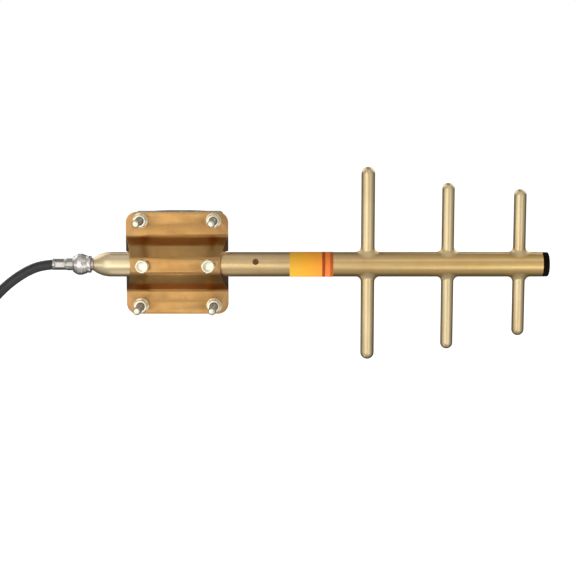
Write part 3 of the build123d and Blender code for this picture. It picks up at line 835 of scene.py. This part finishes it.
def crimp_ferrule(node, origin, cableward, nickel):
    """The crimped sleeve: hexagonal where the tool pressed it, with a flared lip at its end."""
    start, end = 12.5 * MM, 28.0 * MM
    bore, barrel = 5.16 * MM, 5.75 * MM
    pressed_start, pressed_end, fade_length = 15.0 * MM, 25.6 * MM, 1.2 * MM
    pressed = hexagonal(5.3 * MM)

    def shape(angle, height, radius):
        fade = min(1.0, (height - pressed_start) / fade_length, (pressed_end - height) / fade_length)
        if fade <= 0 or radius < barrel - 0.35 * MM:
            return radius
        return radius + fade * (pressed(angle, height, radius) - radius)

    outline = [
        (start, bore),
        (start, 6.0 * MM),
        (start + 0.2 * MM, 6.1 * MM),
        (start + 1.3 * MM, 6.0 * MM),
        *between((start + 1.7 * MM, barrel), (end - 1.7 * MM, barrel), 32),
        (end - 0.9 * MM, 5.8 * MM),
        (end - 0.2 * MM, 5.85 * MM),
        (end, 5.7 * MM),
        (end, 5.3 * MM),
        (end - 0.6 * MM, bore),
    ]
    grid = bmesh.new()
    turned(grid, outline, 120, shape, closed=True, matrix=pointing(origin, cableward))
    return stand_in(node, grid, nickel, "antenna")


def jack_body(origin, nickel):
    """The antenna's jack: its threaded barrel, grooved neck and shank, along local Z, which
    runs from the boom to the mating plane."""
    neck_end = origin.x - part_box("boom_tube")[0].x
    shank_end = origin.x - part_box("jack_body")[1].x
    thread_start, thread_end = -9.4 * MM, -0.5 * MM
    thread, core, neck, groove, shank = 7.88 * MM, 7.0 * MM, 6.3 * MM, 6.1 * MM, 5.0 * MM
    socket, bore, socket_end = 4.05 * MM, 3.2 * MM, -9.0 * MM
    turns = round((thread_end - thread_start) / N_PITCH * THREAD_STEPS)
    outline = [
        (0.0, socket),
        (0.0, core),
        *between((thread_end, thread), (thread_start, thread), turns),
        (thread_start - 0.3 * MM, core),
        (thread_start - 0.5 * MM, neck),
        (-12.0 * MM, neck),
        (-12.2 * MM, groove),
        (-12.6 * MM, groove),
        (-12.8 * MM, neck),
        (neck_end + 0.02 * MM, neck),
        (neck_end, shank),
        (shank_end, shank),
        (shank_end, bore),
        (socket_end, bore),
        (socket_end, socket),
    ]

    def shape(angle, height, radius):
        if not thread_start <= height <= thread_end or radius < thread - 0.38 * MM:
            return radius
        return radius - thread_groove(angle, height, N_PITCH, N_DEPTH)

    grid = bmesh.new()
    turned(grid, outline, 96, shape, closed=True, matrix=pointing(origin, (-1, 0, 0)))
    stand_in("jack_body", grid, nickel, "antenna")


# ------------------------------------------------------------------------------ cable

cable_radius = 5.15 * MM


def coax_cable(jacket):
    """The coax jumper, from inside the near ferrule down to inside the far one."""
    # X and Z in millimetres, in the boom's own upright plane.
    route = [
        (-118.0, 0.0),
        (-137.2, 0.0),
        (-158.0, -8.6),
        (-179.5, -24.5),
        (-199.0, -46.5),
        (-213.5, -72.5),
        (-222.5, -104.0),
        (-226.5, -139.0),
        (-227.8, -178.0),
        (-227.2, -219.0),
        (-225.9, -260.0),
        (-225.0, -299.0),
        (-224.6, -331.0),
        (-224.6, -352.0),
    ]
    curve = bpy.data.curves.new("coax_cable_run", "CURVE")
    curve.dimensions = "3D"
    curve.bevel_depth = cable_radius
    curve.bevel_resolution = 12
    curve.resolution_u = 24
    curve.use_fill_caps = True
    spline = curve.splines.new("NURBS")
    spline.points.add(len(route) - 1)
    for point, (x, z) in zip(spline.points, route):
        point.co = (x * MM, boom_y, z * MM, 1.0)
    spline.order_u = 3
    spline.use_endpoint_u = True
    curve.materials.append(jacket)
    cable = bpy.data.objects.new("coax_cable_run", curve)
    bpy.context.scene.collection.objects.link(cable)
    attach(cable, "antenna")
    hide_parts("coax_cable")


# ------------------------------------------------------------------ lights and the stage

def studio_light():
    """Soft light from all round, brighter towards the front, and a white backdrop that only
    the camera sees."""
    world = bpy.data.worlds.new("studio")
    bpy.context.scene.world = world
    world.use_nodes = True
    tree = world.node_tree
    tree.nodes.clear()
    place = tree.nodes.new("ShaderNodeTexCoord")
    facing = tree.nodes.new("ShaderNodeVectorMath")
    facing.operation = "DOT_PRODUCT"
    facing.inputs[1].default_value = Vector((-0.15, -0.98, 0.12)).normalized()
    tree.links.new(place.outputs["Generated"], facing.inputs[0])
    spread = tree.nodes.new("ShaderNodeMapRange")
    spread.inputs["From Min"].default_value = -1.0
    tree.links.new(facing.outputs["Value"], spread.inputs["Value"])
    ramp = tree.nodes.new("ShaderNodeValToRGB")
    tree.links.new(spread.outputs["Result"], ramp.inputs["Fac"])
    # (place, level) from straight behind the object, 0, to straight in front of it, 1.
    stops = (
        (0.0, 0.07), (0.20, 0.08), (0.33, 0.11), (0.44, 0.21),
        (0.56, 0.36), (0.70, 0.41), (0.86, 0.47), (1.0, 0.50),
    )
    elements = ramp.color_ramp.elements
    while len(elements) < len(stops):
        elements.new(0.5)
    for element, (place_on_ramp, level) in zip(elements, stops):
        element.position = place_on_ramp
        element.color = (level, level, level, 1.0)
    camera_ray = tree.nodes.new("ShaderNodeLightPath")
    light = tree.nodes.new("ShaderNodeBackground")
    tree.links.new(ramp.outputs["Color"], light.inputs["Color"])
    backdrop = tree.nodes.new("ShaderNodeBackground")
    backdrop.inputs["Color"].default_value = (1.0, 1.0, 1.0, 1.0)
    choice = tree.nodes.new("ShaderNodeMixShader")
    tree.links.new(camera_ray.outputs["Is Camera Ray"], choice.inputs["Fac"])
    tree.links.new(light.outputs["Background"], choice.inputs[1])
    tree.links.new(backdrop.outputs["Background"], choice.inputs[2])
    output = tree.nodes.new("ShaderNodeOutputWorld")
    tree.links.new(choice.outputs["Shader"], output.inputs["Surface"])


def softbox(name, location, aim, width, height, power):
    """One rectangular area light of a width, height and power in watts, aimed at a point."""
    data = bpy.data.lights.new(name, "AREA")
    data.shape = "RECTANGLE"
    data.size = width
    data.size_y = height
    data.energy = power
    light = bpy.data.objects.new(name, data)
    bpy.context.scene.collection.objects.link(light)
    light.location = location
    light.rotation_euler = (Vector(location) - Vector(aim)).to_track_quat("Z", "Y").to_euler()
    light.visible_camera = False


def softboxes():
    """The studio's softboxes. Most are small ones that a part of the antenna mirrors."""
    # In front: what the crown, the flanges, the boom and the rods mirror to the camera.
    softbox("front", (-0.06, -1.02, -0.13), (-0.06, boom_y, 0.0), 0.32, 0.54, 0.56)
    softbox("front_tall", (-0.41, -1.02, 0.20), (-0.41, boom_y, 0.20), 0.38, 1.40, 1.67)
    softbox("front_left", (-1.13, -0.68, -0.10), (0.1, boom_y, 0.0), 1.10, 0.40, 1.05)
    softbox("front_right", (0.74, -0.88, -0.10), (0.2, boom_y, 0.0), 0.44, 0.45, 0.36)
    softbox("front_low", (0.55, -0.95, -0.45), (0.2, boom_y, 0.0), 0.50, 0.40, 0.55)
    softbox("front_high", (0.50, -0.90, 0.95), (0.2, boom_y, 0.0), 0.70, 0.44, 0.42)
    # The arch's sloping walls, from below and from above.
    softbox("under", (-0.048, -0.15, -0.40), (-0.048, boom_y, 0.0), 0.125, 0.30, 0.085)
    softbox("over", (-0.068, -0.12, 0.60), (-0.068, boom_y, 0.0), 0.153, 0.30, 0.065)
    # The clamp and the object's back.
    softbox("back_left", (-1.6, 1.6, 1.7), (0.0, 0.0, 0.0), 2.4, 2.4, 18.0)
    softbox("back_right", (1.8, 1.6, 1.6), (0.1, 0.0, 0.0), 2.4, 2.4, 17.0)


def pale_floor():
    """A plain pale floor under the whole object, bright enough to meet the backdrop."""
    depth = cad_low.z - 45 * MM
    half = 12.0
    corners = [(-half, -half, depth), (half, -half, depth), (half, half, depth), (-half, half, depth)]
    mesh = bpy.data.meshes.new("floor")
    mesh.from_pydata(corners, [], [(0, 1, 2, 3)])
    floor = bpy.data.objects.new("floor", mesh)
    bpy.context.scene.collection.objects.link(floor)
    material = bpy.data.materials.new("floor")
    material.use_nodes = True
    shader = material.node_tree.nodes["Principled BSDF"]
    shader.inputs["Base Color"].default_value = (0.55, 0.55, 0.55, 1.0)
    shader.inputs["Roughness"].default_value = 0.9
    shader.inputs["Specular IOR Level"].default_value = 0.0
    shader.inputs["Emission Color"].default_value = (1.0, 1.0, 1.0, 1.0)
    shader.inputs["Emission Strength"].default_value = 0.92
    mesh.materials.append(material)
    floor.visible_glossy = False


# ------------------------------------------------------------------------- the assembly

look_from_front()
bpy.context.scene.view_settings.view_transform = "Standard"

rod_joints = []
for rod in WELDS_OF:
    rod_low, rod_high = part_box(rod)
    rod_x = (rod_low.x + rod_high.x) / 2
    rod_joints += [(rod_x, boom_y, boom_radius), (rod_x, boom_y, -boom_radius)]

# The boom's colour carries painted light along it: paler behind, darker to the front.
boom_gold = anodised_gold(
    "boom_gold", "x", (0.95, 0.67, 0.33), (0.82, 0.53, 0.22), joints=rod_joints, painted_falloff=True
)
rod_gold = anodised_gold("rod_gold", "z", (0.96, 0.76, 0.45), (0.84, 0.63, 0.32))
welded_gold = weld_gold()
bronze = bracket_bronze()
cast = cast_metal()
zinc = zinc_plate()
thread = zinc_thread()
nickel = nickel_plate("nickel_plate", (0.64, 0.60, 0.56), (0.50, 0.47, 0.43))
bright_nickel = nickel_plate("bright_nickel", (1.0, 0.93, 0.88), (0.90, 0.84, 0.79))
gold_plate = contact_gold()
ptfe = moulded("ptfe", (0.88, 0.88, 0.85), (0.80, 0.80, 0.76), 0.42, 0.02 * MM)
nylon = moulded("nylon", (0.80, 0.77, 0.68), (0.70, 0.66, 0.56), 0.45, 0.03 * MM)
silicone = moulded("silicone", (0.45, 0.13, 0.09), (0.33, 0.09, 0.06), 0.55, 0.04 * MM)
copper = drawn_metal("copper", (0.90, 0.52, 0.34), (0.55, 0.26, 0.15))
brass = drawn_metal("brass", (0.86, 0.66, 0.32), (0.58, 0.40, 0.16))
dark_screw = drawn_metal("dark_screw", (0.34, 0.20, 0.10), (0.16, 0.09, 0.04))
cap_vinyl = moulded(
    "cap_vinyl", (0.012, 0.007, 0.003), (0.007, 0.004, 0.002), 0.60, 0.06 * MM,
    Specular_IOR_Level=0.03,
)
jacket = moulded("jacket", (0.034, 0.034, 0.036), (0.020, 0.020, 0.022), 0.40, 0.05 * MM, 420.0)

band_low, band_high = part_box("label_band")
stripe_low, stripe_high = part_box("stripe_bands")
label = printed_film(
    "label", ((0.85, 0.46, 0.03), (0.95, 0.42, 0.02), (0.97, 0.34, 0.03)), band_low.x, band_high.x
)
red_film = printed_film(
    "red_film", ((0.37, 0.030, 0.001), (0.42, 0.055, 0.003), (0.50, 0.09, 0.008)),
    stripe_low.x, stripe_high.x,
)
orange_film = printed_film(
    "orange_film", ((0.92, 0.22, 0.03), (0.90, 0.21, 0.03), (0.88, 0.20, 0.03)),
    stripe_low.x, stripe_high.x,
)

near_plane = joint_place("coupling_nut_spin")
far_plane = joint_place("far_coupling_nut_spin")
near_cableward, far_cableward = (-1, 0, 0), (0, 0, 1)

far_nut = coupling_nut(
    "far_plug_coupling_nut", far_plane, far_cableward, "far_coupling_nut", bright_nickel
)
far_ferrule = crimp_ferrule("far_plug_ferrule", far_plane, far_cableward, nickel)
coax_cable(jacket)

coupling_nut("plug_coupling_nut", near_plane, near_cableward, "coupling_nut", bright_nickel)
crimp_ferrule("plug_ferrule", near_plane, near_cableward, nickel)
jack_body(near_plane, nickel)
clamp_fasteners(zinc, thread)
crown_fasteners(zinc, thread)
for rod in WELDS_OF:
    element_rod(rod, rod_gold)
for seed, rod in enumerate(WELDS_OF):
    rod_welds(rod, seed, welded_gold)
eased("bracket_plate", bronze, "antenna", 1.1 * MM, 3)
for row in ("upper", "lower"):
    eased(f"mast_saddle_{row}", cast, "antenna", 0.6 * MM)
    eased(f"rear_jaw_{row}", cast, f"{row}_jaw", 0.6 * MM)

finishes = {
    "boom_tube": boom_gold,
    "match_rod": brass,
    "match_rod_sleeve": ptfe,
    "feed_line": copper,
    "feed_line_core": copper,
    "feed_line_spacers": nylon,
    "feed_clip_screw": dark_screw,
    "boom_end_cap": cap_vinyl,
    "label_band": label,
    "stripe_bands": red_film,
    "stripe_gap_band": orange_film,
    "jack_insulator": ptfe,
    "jack_contact": gold_plate,
    "jack_lock_ring": nickel,
}
for prefix in ("plug", "far_plug"):
    finishes[f"{prefix}_body"] = nickel
    finishes[f"{prefix}_gasket"] = silicone
    finishes[f"{prefix}_insulator"] = ptfe
    finishes[f"{prefix}_pin"] = gold_plate
for name, finish in finishes.items():
    coat(name, finish)

studio_light()
softboxes()
pale_floor()
